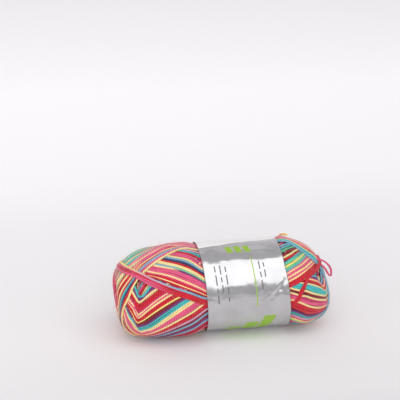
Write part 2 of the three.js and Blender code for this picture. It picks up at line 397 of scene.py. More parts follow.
def wound(direction):
    """The point of the wound form in each direction from its middle."""
    x, y, z = direction[..., 0], direction[..., 1], direction[..., 2]
    across = np.maximum(np.hypot(y, z), 1e-9)
    leftward = x < 0
    upward = 0.5 + 0.5 * z / across
    power = end_size("square_foot", "square_top", leftward, upward)
    girth = end_size("foot", "top", leftward, upward)
    reach = np.where(leftward, LEFT_END["reach"], RIGHT_END["reach"])
    size = (np.abs(x / reach) ** power + (across / girth) ** power) ** (-1 / power)
    radius = drawn_in(across * size, x * size, z * size)
    eye = EYE_DEPTH * np.exp(-(radius / EYE_RADIUS) ** 2)
    height = z / across * radius
    lean = np.where(leftward, LEFT_END["lean"], RIGHT_END["lean"])
    leaning = lean * np.abs(x * size / reach) ** LEAN_POWER * height / AXIS_HEIGHT
    return np.stack([x * size - np.sign(x) * eye - leaning, y / across * radius, height], -1)


def outward(direction):
    """The way straight out of the wound form in each direction."""
    feel = 0.01
    aside = unit(np.cross([0.0, 0.0, 1.0], direction) + 1e-9)
    above = unit(np.cross(direction, aside))
    here = wound(direction)
    first = wound(unit(direction + feel * aside)) - here
    second = wound(unit(direction + feel * above)) - here
    out = unit(np.cross(first, second))
    return out * np.where((out * direction).sum(-1, keepdims=True) < 0, -1.0, 1.0)


def on_axis(points):
    """From the middle of the axis to the skein's place on the table, in metres."""
    rise = np.zeros_like(points)
    rise[..., 2] = AXIS_HEIGHT + AXIS_RISE * points[..., 0]
    return (points + rise + SKEIN_MIDDLE) * MM


def bearing(reach, around):
    """A direction from two angles in degrees: from the left end of the axis, and round
    the axis from the top towards the front."""
    a, b = np.radians(reach), np.radians(around)
    return np.stack([-np.cos(a), -np.sin(a) * np.sin(b), np.sin(a) * np.cos(b)], -1)


def softened(heights, spread):
    """Heights along a strand, smoothed as the strand's own stiffness does."""
    ends = 2 * spread
    weights = np.exp(-0.5 * (np.arange(-ends, ends + 1) / spread) ** 2)
    longer = np.concatenate([np.full(ends, heights[0]), heights, np.full(ends, heights[-1])])
    return np.convolve(longer, weights / weights.sum(), "valid")


def widened(values, steps):
    """The highest value within so many steps along a strand."""
    most = values.copy()
    for step in range(1, steps + 1):
        most[step:] = np.maximum(most[step:], values[:-step])
        most[:-step] = np.maximum(most[:-step], values[step:])
    return most


# The winding. Each turn is laid along its line of bearings onto the yarn that is there
# already, and rides over whatever it crosses. A map of bearings keeps how high that stands.
LINE_STEPS = 400
TURN_STEP = 0.5
LOOSE = 0.003
CHANGES = (0.25, 0.75)
# How much a turn raises the pile, and how far above it another has to stand to hide it.
LAYER = 0.8
HIDDEN_BY = 0.25
# Places across a strand, from its middle: where it lies on the yarn below, where the yarn
# above lies on it, and where it is looked for from outside.
FOOT = (-0.38, -0.19, 0.0, 0.19, 0.38)
BODY = (-0.55, -0.36, -0.18, 0.0, 0.18, 0.36, 0.55)
ACROSS = (-0.5, 0.0, 0.5)
HALF_STRAND = 0.75
ROUNDED_OFF = 0.4
MAP_REACH = 320
MAP_AROUND = 280
# A turn is kept this far under the band's edge, and these steps beyond what shows.
UNDER_BAND = -7.0
TRIM_MARGIN = 4
chance = np.random.default_rng(5)


class Pile:
    """How high the yarn stands on the wound form, by bearing."""

    def __init__(self):
        self.heights = np.zeros((MAP_REACH, MAP_AROUND))

    def cells(self, places):
        """The row and the column of the map for each place."""
        direction = unit(places)
        reach = np.arccos(np.clip(-direction[..., 0], -1, 1)) / np.pi
        around = np.arctan2(-direction[..., 1], direction[..., 2]) / (2 * np.pi) + 0.5
        row = np.clip((reach * MAP_REACH).astype(int), 0, MAP_REACH - 1)
        return row, (around * MAP_AROUND).astype(int) % MAP_AROUND

    def under(self, turn):
        """The height below each step of a turn."""
        most = np.zeros(len(turn.place))
        for side in FOOT:
            most = np.maximum(most, self.heights[self.cells(turn.place + turn.beside * side)])
        return most

    def add(self, turn):
        """Lays a turn on the pile. Its top is rounded off towards its sides."""
        for side in BODY:
            top = turn.height + LAYER - ROUNDED_OFF * (side / HALF_STRAND) ** 2
            cells = self.cells(turn.place + turn.beside * side)
            np.maximum.at(self.heights, cells, top)

    def shows(self, turn):
        """Which steps of a turn no later turn lies over."""
        seen = np.zeros(len(turn.place), bool)
        for side in ACROSS:
            above = self.heights[self.cells(turn.place + turn.beside * side)]
            seen |= above < turn.height + LAYER + HIDDEN_BY
        return seen


class Turn:
    """One turn of the yarn, as steps along a line of bearings on the wound form."""

    def __init__(self, line, tint, aside=0.0, changes=CHANGES):
        direction = unit(smooth_line(line, LINE_STEPS))
        along = lengths_along(wound(direction))
        steps = np.arange(0, along[-1], TURN_STEP)
        self.lay(unit(np.stack([np.interp(steps, along, direction[:, k]) for k in range(3)], 1)))
        if aside:
            self.lay(unit(self.place + self.beside * aside))
        self.tint = tint
        self.changes = changes
        self.height = np.zeros(len(self.place))

    def lay(self, direction):
        """Sets each step's place, and the ways out of the skein and across the turn."""
        self.place = wound(direction)
        self.out = outward(direction)
        self.beside = unit(np.cross(self.out, unit(np.gradient(self.place, axis=0))))

    def trim(self, pile):
        """Keeps what shows, and a little more where the yarn goes out of sight."""
        near_band = outside_band(self.place[:, 0], self.place[:, 2]) > UNDER_BAND
        shown = (pile.shows(self) & near_band).astype(float)
        self.kept = (widened(shown, TRIM_MARGIN) > 0.5) & near_band


def nested(guides, tints, shift=0.0, changes=CHANGES):
    """A bundle of turns side by side, spread evenly over its guide lines, or set beside
    one line by a shift each. Their dye changes within a share of their length."""
    lines = [bearing(*np.array(guide, float).T) for guide in guides]
    tints = tints.split()
    turns = []
    for i, tint in enumerate(tints):
        if len(lines) == 1:
            line = lines[0]
        else:
            share = i / (len(tints) - 1) * (len(lines) - 1)
            first = min(int(share), len(lines) - 2)
            line = unit(lines[first] * (1 - share + first) + lines[first + 1] * (share - first))
        line = unit(line + chance.normal(size=line.shape) * LOOSE)
        turns.append(Turn(line, tint, (i - (len(tints) - 1) / 2) * shift, changes))
    return turns


# The inner turns. They lead round both ends in even sets, and show on the back, the ends
# and wherever the outer bundles leave a gap. They lie packed, so only their tops show.
BURIED = 1.7
INNER_LOOSE = 0.01
INNER_UNEVEN = 0.06
# How many steps along a turn it is lifted beside what it lies on, and how many it takes to
# rise or fall, first as it is wound and then as it is drawn.
WOUND_OVER = 6
WOUND_EASE = 3
DRAWN_OVER = 1
DRAWN_EASE = 2
# Where along its arc round the end each turn has a point, in degrees from its crest.
SET_ARC = (-88, -66, -44, -22, 0, 22, 44, 66, 88)
# Sets of turns. The inner ones are (reach of the crests, bearing of the first, step, turns).
EYE_SETS = ((8, 0, 8, 45), (15, 40, 5, 72))
OUTER_SET_REACH = 24
OUTER_SET_STEP = 3.0
OUTER_SET_TURNS = 16
OUTER_SET_STARTS = (200, 20, 290, 110, 245, 65, 155, 335)
INNER_TINTS = (
    "pink rose red wine turquoise pink magenta cream pink lemon red pink sky sky pink cream".split(),
    "red red pink cream turquoise turquoise pink pink lemon magenta red cream pink sky red pink".split(),
)


def crest_turn(leftward, reach, around, tint):
    """A turn round one end, with its crest at that reach from the end."""
    crest = bearing(reach if leftward else 180 - reach, around)
    beside = bearing(90, around + 90)
    arc = np.radians(SET_ARC)[:, None]
    line = crest * np.cos(arc) + beside * np.sin(arc)
    return Turn(unit(line + chance.normal(size=line.shape) * INNER_LOOSE), tint)


inner_turns = {"left": [], "right": []}
for side, turns in inner_turns.items():
    for reach, start, step, count in EYE_SETS:
        for i in range(count):
            tint = INNER_TINTS[0][i % len(INNER_TINTS[0])]
            turns.append(crest_turn(side == "left", reach, start + step * i, tint))
    for k, start in enumerate(OUTER_SET_STARTS):
        for i in range(OUTER_SET_TURNS):
            tint = INNER_TINTS[k % 2][i]
            turns.append(crest_turn(side == "left", OUTER_SET_REACH, start + OUTER_SET_STEP * i, tint))

packed = Pile()
all_inner = inner_turns["left"] + inner_turns["right"]
for turn in all_inner:
    turn.height = softened(widened(packed.under(turn), WOUND_OVER), WOUND_EASE)
    packed.add(turn)
for turn in all_inner:
    turn.trim(packed)
    buried = np.clip(packed.under(turn) - turn.height - LAYER, 0, BURIED)
    turn.height = -softened(widened(buried, DRAWN_OVER), DRAWN_EASE) - 0.5 * LAYER
    turn.height = turn.height + chance.uniform(-INNER_UNEVEN, INNER_UNEVEN)


# The outer bundles, from the first laid to the last. They lead round one end each, and
# make up what shows of the yarn at the front.
RIDE_OVER = 9
RIDE_EASE = 6
RIDE_UNEVEN = 0.12
COVERED_ABOVE = 0.3
# Each has its guide lines of bearings, and its tints from the first guide to the last. A
# turn that changes its dye has them with ">" between. "changes" are the shares of its length
# that it does so between, and "shift" is how far apart turns lie that have one guide.
OUTER_BUNDLES = {
    "left_front_turns": {
        "guides": (
            ((85, 5), (60, 30), (40, 52), (31, 62), (27, 74), (25.6, 76.1), (25, 77), (24.8, 75.4),
             (23.8, 70), (22.6, 62), (20, 30), (24, -20), (40, -45), (88, -60)),
            ((86, 28), (60, 55), (45, 65), (37, 70), (28, 88), (25.9, 91.8), (25, 94), (24.7, 92.2),
             (23.7, 87), (21.8, 79), (17, 50), (20, -25), (40, -60), (88, -75)),
            ((87, 40), (62, 62), (48, 70), (40, 74), (28, 97), (25.9, 103), (25, 106), (24.7, 104.2),
             (23.6, 99), (21.6, 90), (15, 60), (18, -30), (40, -75), (88, -90)),
            ((88, 52), (66, 68), (54, 76), (45, 80), (29, 108), (26.2, 114), (25.1, 118), (24.7, 116.2),
             (23.6, 111), (21.4, 101), (15, 70), (17, -40), (40, -85), (88, -105)),
            ((89, 62), (70, 75), (61, 80), (52, 85), (33, 118), (28.8, 128.5), (27, 134), (26.5, 132),
             (25, 126), (21.8, 114), (14, 80), (16, -60), (40, -100), (88, -120)),
            ((90, 72), (78, 80), (68, 84), (59, 90), (35, 123), (30.1, 134.9), (28, 142), (27.3, 142.4),
             (25, 140), (21, 127), (14, 95), (15, -80), (40, -115), (88, -135)),
            ((90, 85), (80, 92), (72, 97), (66, 100), (38, 130), (32.4, 143.3), (30, 149),
             (28.8, 152.6), (26, 161), (22, 159), (15, 120), (15, -110), (40, -130), (88, -150)),
            ((90, 100), (80, 108), (70, 113), (62, 118), (44, 138), (37, 153.4), (34, 160),
             (32.2, 165.4), (28, 178), (24, -175), (19, 175), (17, -140), (40, -145), (88, -165)),
            ((90, 118), (80, 126), (70, 132), (60, 140), (45, 160), (38.7, -184.6), (36, -178),
             (34.2, -174.1), (30, -165), (26, -160), (22, -155), (21, -145), (40, -160), (88, -180)),
        ),
        "tints": "turquoise violet cream red red red magenta cream pink cream red red lemon wine violet"
                 " turquoise turquoise cream cream pink pink pink cream red red lilac wine sky wine"
                 " violet sky red wine pink",
    },
    "left_fan_turns": {
        "guides": (
            ((25, -40), (30, -15), (38, 2), (51, 14), (62, 18), (88, 26)),
            ((24, -25), (28, -2), (36, 14), (50, 30), (64, 43), (88, 58)),
            ((22, -12), (27, 12), (35, 28), (48, 42), (64, 56), (88, 74)),
            ((20, -4), (25, 22), (32, 36), (46, 50), (65, 66), (88, 84)),
            ((19, 4), (23, 30), (28, 43), (42, 58), (65, 76), (88, 94)),
            ((18, 10), (21, 33), (27, 46), (42, 64), (65, 81), (88, 100)),
        ),
        "tints": "lilac turquoise red pink pink cream sky navy red cream cream sky>green cream>violet pink"
                 " pink pink cream pink red red cream red",
    },
    "left_over_turns": {
        "guides": (
            ((88, -22), (51, -9), (41, -22), (32, -24), (24, -28), (20, -32), (15, -43), (13, -62),
             (12, -86), (16, -120), (40, -150), (88, -165)),
            ((88, -17), (52, -5), (41, -16), (32, -14), (24, -14), (19, -13), (12, -18), (8, -37),
             (6, -100), (15, -138), (40, -156), (88, -167)),
            ((88, -13), (54, 0), (42, -10), (33, -5), (26, -1), (20, 6), (13, 12), (7, 11), (3, 156),
             (16, -155), (40, -162), (88, -170)),
            ((88, -8), (55, 4), (43, -4), (34, 4), (28, 10), (23, 22), (16, 35), (11, 45), (9, 120),
             (18, -170), (40, -168), (88, -172)),
            ((88, 2), (56, 10), (40, 12), (31, 21), (25, 32), (20, 48), (14, 75), (12, 130), (15, 168),
             (22, 178), (42, 178), (88, 178)),
            ((88, 8), (53, 13), (43, 18), (33, 29), (27, 41), (23, 57), (20, 77), (17, 99), (16, 124),
             (22, 164), (42, 172), (88, 170)),
        ),
        "tints": "pink>turquoise>red lilac>green>pink pink>cream>red rose>turquoise>pink pink>green>red"
                 " lilac>sky>rose pink>cream>pink red>turquoise>red pink>green>pink cream>turquoise>red"
                 " rose>red pink>cream>pink magenta>green>cream pink>turquoise>red rose>pink pink>cream"
                 " rose>cream cream>green pink>red pink>cream magenta>red cream>red red>cream sky>red"
                 " sky>turquoise pink>navy pink>red cream",
        "changes": (0.12, 0.56),
    },
    "left_crossing_turns": {
        "guides": (
            ((88, -100), (40, -90), (22, -65), (17, -36), (17, 18), (24, 45), (31, 59), (41, 71),
             (52, 79), (65, 87), (88, 98)),
        ),
        "tints": "pink>pink>red red>pink>red pink>red>red lemon>lilac>sky",
        "shift": 1.3,
        "changes": (0.5, 0.86),
    },
    "right_front_turns": {
        "guides": (
            ((92, 38), (125, 50), (145, 62), (152, 64), (157, 66), (159, 68), (161, 80), (165, 60),
             (166, 20), (150, -20), (92, -30)),
            ((92, 42), (125, 56), (146, 68), (152, 70), (156, 73), (159, 77), (162, 88), (167, 70),
             (168, 20), (150, -30), (92, -45)),
            ((92, 44), (125, 60), (146, 72), (151, 75), (155, 79), (159, 85), (164, 96), (168, 80),
             (169, 20), (150, -45), (92, -60)),
            ((92, 50), (125, 66), (145, 78), (150, 80), (154, 86), (158, 92), (163, 100), (169, 90),
             (170, 0), (150, -60), (92, -75)),
            ((92, 62), (125, 78), (145, 89), (150, 94), (154, 100), (159, 109), (164, 118), (169, 105),
             (171, -20), (150, -80), (92, -90)),
            ((92, 74), (125, 88), (145, 98), (151, 107), (155, 115), (159, 122), (164, 130), (169, 125),
             (171, -60), (150, -100), (92, -110)),
            ((92, 84), (125, 98), (145, 109), (151, 119), (155, 125), (159, 131), (164, 137), (169, 140),
             (170, -100), (150, -120), (92, -130)),
            ((92, 100), (125, 114), (145, 126), (151, 137), (155, 142), (159, 145), (164, 150), (168, 160),
             (168, -130), (150, -140), (92, -150)),
            ((92, 112), (125, 128), (145, 140), (151, 152), (155, 160), (159, 166), (163, 172), (165, -175),
             (163, -150), (150, -155), (92, -165)),
        ),
        "tints": "sky navy pink cream red red wine cream turquoise turquoise turquoise turquoise cream"
                 " wine cream magenta pink pink cream red red red red violet turquoise lilac pink lemon"
                 " green pink",
    },
    "right_fan_turns": {
        "guides": (
            ((92, 24), (128, 24), (144, 15), (150, 7), (157, -8), (163, -40), (150, -70), (92, -85)),
            ((92, 50), (128, 50), (145, 39), (151, 30), (157, 14), (164, -30), (150, -80), (92, -95)),
            ((92, 66), (128, 66), (145, 54), (151, 45), (158, 28), (166, -20), (150, -90), (92, -105)),
            ((92, 75), (128, 75), (145, 63), (152, 55), (160, 38), (168, -10), (150, -100), (92, -115)),
            ((92, 84), (128, 86), (145, 75), (152, 66), (162, 47), (170, 0), (150, -110), (92, -125)),
        ),
        "tints": "sky turquoise green wine cream red turquoise green lemon green turquoise pink cream pink"
                 " pink cream pink cream red red red",
    },
    "right_over_turns": {
        "guides": (
            ((92, -30), (125, -24), (141, -20), (148, -18), (156, -16), (165, -14), (171, 40), (171, 80),
             (167, 110), (163, 150), (150, 175), (92, -170)),
            ((92, -18), (125, -14), (144, -13), (151, -6), (157, 4), (165, 14), (169, 45), (169, 80),
             (166, 115), (161, 150), (150, 172), (92, 178)),
            ((92, -5), (125, 0), (144, 4), (152, 18), (157, 30), (162, 42), (166, 61), (167, 87),
             (165, 118), (160, 145), (150, 165), (92, 170)),
        ),
        "tints": "rose lilac rose pink rose cream pink rose red cream turquoise>lemon turquoise>green"
                 " sky>turquoise",
        "changes": (0.35, 0.85),
    },
    "right_crossing_turns": {
        "guides": (
            ((92, -112), (130, -112), (152, -105), (166, -84), (170, -30), (168, 10), (164, 42), (158, 58),
             (153, 67), (150, 78), (147, 87), (144, 95), (125, 115), (92, 130)),
        ),
        "tints": "red pink>red",
        "shift": 1.3,
        "changes": (0.1, 0.9),
    },
}

standing = Pile()
for bundle in OUTER_BUNDLES.values():
    bundle["turns"] = nested(bundle["guides"], bundle["tints"], bundle.get("shift", 0.0),
                             bundle.get("changes", CHANGES))
    for turn in bundle["turns"]:
        turn.height = softened(widened(standing.under(turn), RIDE_OVER), RIDE_EASE)
        turn.height = turn.height + chance.uniform(0, RIDE_UNEVEN)
    for turn in bundle["turns"]:
        standing.add(turn)
for bundle in OUTER_BUNDLES.values():
    for turn in bundle["turns"]:
        turn.trim(standing)
        turn.height = turn.height + 0.5 * LAYER
for turn in all_inner:
    covered = np.ones(len(turn.place), bool)
    for side in ACROSS:
        covered &= standing.heights[standing.cells(turn.place + turn.beside * side)] > COVERED_ABOVE
    turn.kept &= widened((~covered).astype(float), TRIM_MARGIN) > 0.5


# The turns as strands. The dye changes slowly along each: it keeps its tints at the front,
# and goes over to another one behind. The band and the table press the strands flat.
SUNK_IN = 1.2
PRESSED_SHARE = 0.2
PRESSED_TO = -2.0
FREE_FROM = 8.0
DYE_CHANGE_FROM = 15.0
DYE_CHANGE_TO = 25.0
DYE_BLEND = 0.06
STEPS_KEPT = 3
LEAST_POINTS = 3
BEHIND = {
    "pink": "red", "magenta": "turquoise", "red": "cream", "cream": "pink", "lemon": "turquoise",
    "turquoise": "lilac", "sky": "pink", "green": "red", "violet": "sky", "wine": "lemon",
    "lilac": "red", "gold": "cream", "navy": "pink", "rose": "green",
}


def dyed(turn):
    """Tints along a turn: its own, or in order along it, and another behind the skein."""
    names = turn.tint.split(">")
    share = np.linspace(0, 1, len(turn.place))
    tints = np.tile(DYES[names[0]], (len(turn.place), 1))
    for k, name in enumerate(names[1:], start=1):
        middle = turn.changes[0] + (turn.changes[1] - turn.changes[0]) * k / len(names)
        mix = smoothstep(share, middle - DYE_BLEND, middle + DYE_BLEND)[:, None]
        tints = tints * (1 - mix) + DYES[name] * mix
    mix = smoothstep(turn.place[:, 1], DYE_CHANGE_FROM, DYE_CHANGE_TO)[:, None]
    return tints * (1 - mix) + DYES[BEHIND[names[-1]]] * mix


def strand_lines(turn):
    """The stretches of a turn that show, as lines of the strand's middle, in metres."""
    x, z = turn.place[:, 0], turn.place[:, 2]
    pressed = PRESSED_SHARE + (1 - PRESSED_SHARE) * smoothstep(outside_band(x, z), PRESSED_TO, FREE_FROM)
    height = np.where(turn.height > 0, turn.height * pressed, turn.height)
    middle = on_axis(turn.place + turn.out * (height - SUNK_IN)[:, None])
    middle[:, 2] = np.maximum(middle[:, 2], 0.5 * STRAND_THICK)
    along = lengths_along(middle)
    tints = dyed(turn)
    ends = np.flatnonzero(np.diff(np.concatenate([[0], turn.kept.astype(int), [0]])))
    lines = []
    for start, stop in zip(ends[::2], ends[1::2]):
        if stop - start < LEAST_POINTS * STEPS_KEPT:
            continue
        picked = np.arange(start, stop, STEPS_KEPT)
        lines.append((middle[picked], turn.out[picked], tints[picked], along[picked]))
    return lines


def dress(name, turns):
    """Makes one piece of the skein: all that shows of some turns."""
    lines = [line for turn in turns for line in strand_lines(turn)]
    piece = swept(name, lines)
    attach(piece, "root")
    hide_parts("yarn_ball")


for side, turns in inner_turns.items():
    dress(side + "_inner_turns", turns)
for name, bundle in OUTER_BUNDLES.items():
    dress(name, bundle["turns"])


# The heart of the skein. The yarn under the turns that are drawn strand by strand:
# one closed body just below them, coloured very dark as painted shade, so that every gap
# between the turns shows shade.
HEART_DEPTH = 3.2
HEART_RINGS = 90
HEART_SIDES = 72
DEEP_SURFACE = {"Roughness": 0.9}
DEEP_STRANDS = {"Scale": 110, "Distortion": 3, "Detail": 2}
# The heart's two colours, very dark reds in strands, are painted shade for the gaps between the turns.
DEEP_PAINTED_SHADE_TONES = ((0.05, 0.008, 0.015, 1), (0.28, 0.03, 0.07, 1))

rings = np.linspace(0, 180, HEART_RINGS + 1)[1:-1]
sides = np.arange(HEART_SIDES) * 360 / HEART_SIDES
reach, around = np.meshgrid(rings, sides, indexing="ij")
directions = np.vstack([bearing(0.0, 0.0)[None], bearing(reach, around).reshape(-1, 3),
                        bearing(180.0, 0.0)[None]])
heart_points = on_axis(wound(directions) - outward(directions) * HEART_DEPTH)
heart_points[:, 2] = np.maximum(heart_points[:, 2], STRAND_THICK)
last = len(directions) - 1
heart_faces = []
for j in range(HEART_SIDES):
    k = (j + 1) % HEART_SIDES
    heart_faces.append((0, 1 + k, 1 + j))
    for i in range(HEART_RINGS - 2):
        row = 1 + i * HEART_SIDES
        heart_faces.append((row + j, row + k, row + HEART_SIDES + k, row + HEART_SIDES + j))
    row = 1 + (HEART_RINGS - 2) * HEART_SIDES
    heart_faces.append((row + j, row + k, last))
heart_mesh = bpy.data.meshes.new("heart_of_skein")
heart_mesh.from_pydata(heart_points.tolist(), [], heart_faces)
heart_mesh.shade_smooth()

deep_yarn_painted_shade, tree, deep_shader = new_material("deep_yarn_painted_shade", DEEP_SURFACE)
place = node_in(tree, "ShaderNodeTexCoord")
strands = node_in(tree, "ShaderNodeTexWave", {"Vector": place.outputs["Object"], **DEEP_STRANDS},
                  bands_direction="DIAGONAL")
deep_painted_shade_colours = node_in(tree, "ShaderNodeValToRGB", {"Fac": strands.outputs["Fac"]})
for stop, tone in zip(deep_painted_shade_colours.color_ramp.elements, DEEP_PAINTED_SHADE_TONES):
    stop.color = tone
tree.links.new(deep_painted_shade_colours.outputs["Color"], deep_shader.inputs["Base Color"])
heart_mesh.materials.append(deep_yarn_painted_shade)

heart = placed("heart_of_skein", heart_mesh)
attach(heart, "root")
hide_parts("yarn_ball")


# The slack loop. A little of the yarn at the right end was pulled out of the winding,
# and stands off as one small pink loop that goes back under the turns.
# Its route is given as (reach, bearing, height above the wound form).
SLACK_ROUTE = (
    (162, 34, 0.4), (164.5, 34, 2.6), (167, 37, 4.2), (169, 44, 5.4), (170, 54, 5.8), (170, 64, 5.2),
    (168.5, 70, 4.2), (167, 66, 3.2), (166.5, 56, 2.8), (165.5, 47, 2.2), (163.5, 40, 1.0), (161, 36, -0.2),
)
SLACK_STEPS = 60

slack_points = []
for reach, around, height in SLACK_ROUTE:
    direction = bearing(reach, around)[None]
    slack_points.append(on_axis(wound(direction) + outward(direction) * height)[0])
slack_line = smooth_line(np.array(slack_points), SLACK_STEPS)
slack_facing = unit(slack_line - (0.0, 0.0, AXIS_HEIGHT * MM))
slack_tints = np.tile(DYES["pink"], (len(slack_line), 1))
slack_loop = swept("slack_loop", [(slack_line, slack_facing, slack_tints, lengths_along(slack_line))],
                   thickness=STRAND_WIDTH)
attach(slack_loop, "root")
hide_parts("yarn_ball")


# The fuzz. Fine fibre ends that the spinning left loose. They stand off the strands
# all over the skein, bent every way, a few millimetres long.
FUZZ_COUNT = 3600
FUZZ_LENGTH = 2.6 * MM
FUZZ_THICK = 0.05 * MM
FUZZ_SEED = 11
FUZZ_ROOT = 0.4
FUZZ_FROM_BAND = 2
FUZZ_FROM_TABLE = 5 * MM
# A fibre one long: its bend, how far it may lean and turn, and the range of its lengths.
FIBRE_BOW = {"Resolution": 5, "Start": (0.0, 0.0, 0.0), "Middle": (0.15, 0.0, 0.6),
             "End": (0.75, 0.1, 0.75)}
FIBRE_SIDES = 3
FIBRE_LEAN = {"Min": (-0.9, -0.9, -math.pi), "Max": (0.9, 0.9, math.pi)}
FIBRE_LENGTHS = {"Min": 0.35, "Max": 1.3}
FIBRE_SURFACE = {"Roughness": 0.5, "Sheen Weight": 0.3}
FIBRE_PALENESS = {"Saturation": 0.8, "Value": 1.15}


def fuzz_tree():
    """Sets a bent fibre on each point, leaning at random from its "facing"."""
    tree, given, result = new_group(
        "fibre_ends", "GeometryNodeTree",
        (("Points", "Geometry"), ("Length", "Float"), ("Thickness", "Float"), ("Seed", "Int"),
         ("Material", "Material")),
        (("Fibres", "Geometry"),))
    bow = node_in(tree, "GeometryNodeCurveQuadraticBezier", FIBRE_BOW)
    to_length = node_in(tree, "ShaderNodeCombineXYZ", {axis: given["Length"] for axis in "XYZ"})
    stretched = node_in(tree, "GeometryNodeTransform",
                        {"Geometry": bow.outputs["Curve"], "Scale": to_length.outputs["Vector"]})
    half = node_in(tree, "ShaderNodeMath", {0: given["Thickness"], 1: 0.5}, operation="MULTIPLY")
    section = node_in(tree, "GeometryNodeCurvePrimitiveCircle",
                      {"Resolution": FIBRE_SIDES, "Radius": half.outputs[0]})
    fibre = node_in(tree, "GeometryNodeCurveToMesh",
                    {"Curve": stretched.outputs["Geometry"], "Profile Curve": section.outputs["Curve"],
                     "Fill Caps": True})
    facing = node_in(tree, "GeometryNodeInputNamedAttribute", {"Name": "facing"},
                     data_type="FLOAT_VECTOR")
    upright = node_in(tree, "FunctionNodeAlignRotationToVector",
                      {"Vector": facing.outputs["Attribute"]}, axis="Z")
    lean = node_in(tree, "FunctionNodeRandomValue", {"Seed": given["Seed"], **FIBRE_LEAN},
                   data_type="FLOAT_VECTOR")
    leaning = node_in(tree, "FunctionNodeRotateRotation",
                      {"Rotation": upright.outputs["Rotation"], "Rotate By": lean.outputs["Value"]},
                      rotation_space="LOCAL")
    longer = node_in(tree, "FunctionNodeRandomValue", {"Seed": given["Seed"], **FIBRE_LENGTHS},
                     data_type="FLOAT")
    planted = node_in(tree, "GeometryNodeInstanceOnPoints",
                      {"Points": given["Points"], "Instance": fibre.outputs["Mesh"],
                       "Rotation": leaning.outputs["Rotation"], "Scale": longer.outputs["Value"]})
    return end_tree(tree, planted.outputs["Instances"], given["Material"], result["Fibres"])


fibre_material, tree, fibre_shader = new_material("loose_fibres", FIBRE_SURFACE)
fibre_tint = node_in(tree, "ShaderNodeAttribute", attribute_name="tint")
paler = node_in(tree, "ShaderNodeHueSaturation",
                {"Color": fibre_tint.outputs["Color"], **FIBRE_PALENESS})
tree.links.new(paler.outputs["Color"], fibre_shader.inputs["Base Color"])

shown_lines = [line for bundle in OUTER_BUNDLES.values() for turn in bundle["turns"]
               for line in strand_lines(turn)]
shown_lines += [line for turn in all_inner for line in strand_lines(turn)]
fuzz_places, fuzz_facings, fuzz_tints = (
    np.concatenate([line[part] for line in shown_lines]) for part in range(3))
in_air = outside_band(fuzz_places[:, 0] / MM - SKEIN_MIDDLE[0],
                      fuzz_places[:, 2] / MM - AXIS_HEIGHT) > FUZZ_FROM_BAND
in_air &= fuzz_places[:, 2] > FUZZ_FROM_TABLE
picked = chance.choice(np.flatnonzero(in_air), FUZZ_COUNT, replace=False)
fuzz_mesh = bpy.data.meshes.new("fuzz")
fuzz_roots = fuzz_places[picked] + fuzz_facings[picked] * FUZZ_ROOT * STRAND_THICK
fuzz_mesh.from_pydata(fuzz_roots.tolist(), [], [])
store(fuzz_mesh, "facing", "FLOAT_VECTOR", fuzz_facings[picked])
store(fuzz_mesh, "tint", "FLOAT_COLOR", fuzz_tints[picked])
fuzz = made_by(fuzz_tree(), fuzz_mesh, "fuzz",
               Length=FUZZ_LENGTH, Thickness=FUZZ_THICK, Seed=FUZZ_SEED, Material=fibre_material)
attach(fuzz, "root")


# The band. A strip of foil paper wrapped once round the waist and glued where it laps
# over itself behind. It was folded flat before, and handling has crumpled it.
BAND_CLEARANCE = 0.95
BAND_PAPER = 0.22
BAND_COLUMNS = 84
BAND_ROWS = 300
LAP_FROM = -118.0
LAP = 26.0
LAP_RISE = 0.45
LAP_EASE = 10
# Folds as (x, bearing) to (x, bearing), with depth and half width. A depth below 0 is a
# fold that stands up.
FOLD_POWER = 1.4
FOLDS = (
    ((-18, 8), (43, 6), -0.55, 6.0),
    ((-18, 36), (43, 40), -0.20, 5.0),
    ((36.0, 70), (27.5, 88), -0.35, 1.6),
    ((27.5, 88), (22.0, 95), -0.30, 1.6),
    ((38.5, 69), (29.5, 90), 0.55, 3.2),
    ((24.0, 76), (22.0, 100), 0.35, 3.0),
    ((41.0, 50), (34.0, 58), 0.45, 3.0),
    ((41.0, 84), (35.0, 80), 0.40, 2.6),
    ((18.0, 42), (22.5, 56), 0.22, 2.4),
    ((33.0, 44), (25.0, 62), 0.20, 2.6),
    ((-14.0, 60), (-8.0, 66), 0.25, 2.6),
    ((-14.0, 84), (-6.0, 88), 0.22, 3.0),
    ((2.0, -30), (9.0, -42), 0.35, 3.0),
    ((30.0, -60), (22.0, -74), 0.35, 3.0),
    ((-10.0, -80), (0.0, -96), 0.30, 3.0),
    ((36.0, 150), (28.0, 172), 0.35, 3.4),
)
# Broad dents as (x, bearing, half width, depth).
BROAD_DENTS = (
    (0.0, 78.0, 13.0, 0.35), (26.0, 100.0, 10.0, 0.45), (12.0, 58.0, 12.0, -0.25),
    (34.0, 30.0, 11.0, 0.35), (-6.0, 30.0, 12.0, 0.30), (8.0, -70.0, 16.0, 0.5),
    (30.0, -130.0, 14.0, 0.4), (-4.0, 160.0, 14.0, 0.3),
)
# Crumples all over as (depth, how far apart, seed), from a square of random heights, in
# which the band's x 0 and bearing 0 lie at CRUMPLE_START.
CRUMPLES = ((0.20, 8.0, 3), (0.07, 3.6, 4))
CRUMPLE_SQUARE = 90
CRUMPLE_START = 40


def girth_at(x, around):
    """The radius of the wound form at one place along the axis and round it."""
    leftward = x < 0
    upward = 0.5 + 0.5 * np.cos(around)
    power = end_size("square_foot", "square_top", leftward, upward)
    girth = end_size("foot", "top", leftward, upward)
    reach = np.where(leftward, LEFT_END["reach"], RIGHT_END["reach"])
    radius = girth * (1 - np.abs(x / reach) ** power) ** (1 / power)
    return drawn_in(radius, x, np.cos(around) * radius)


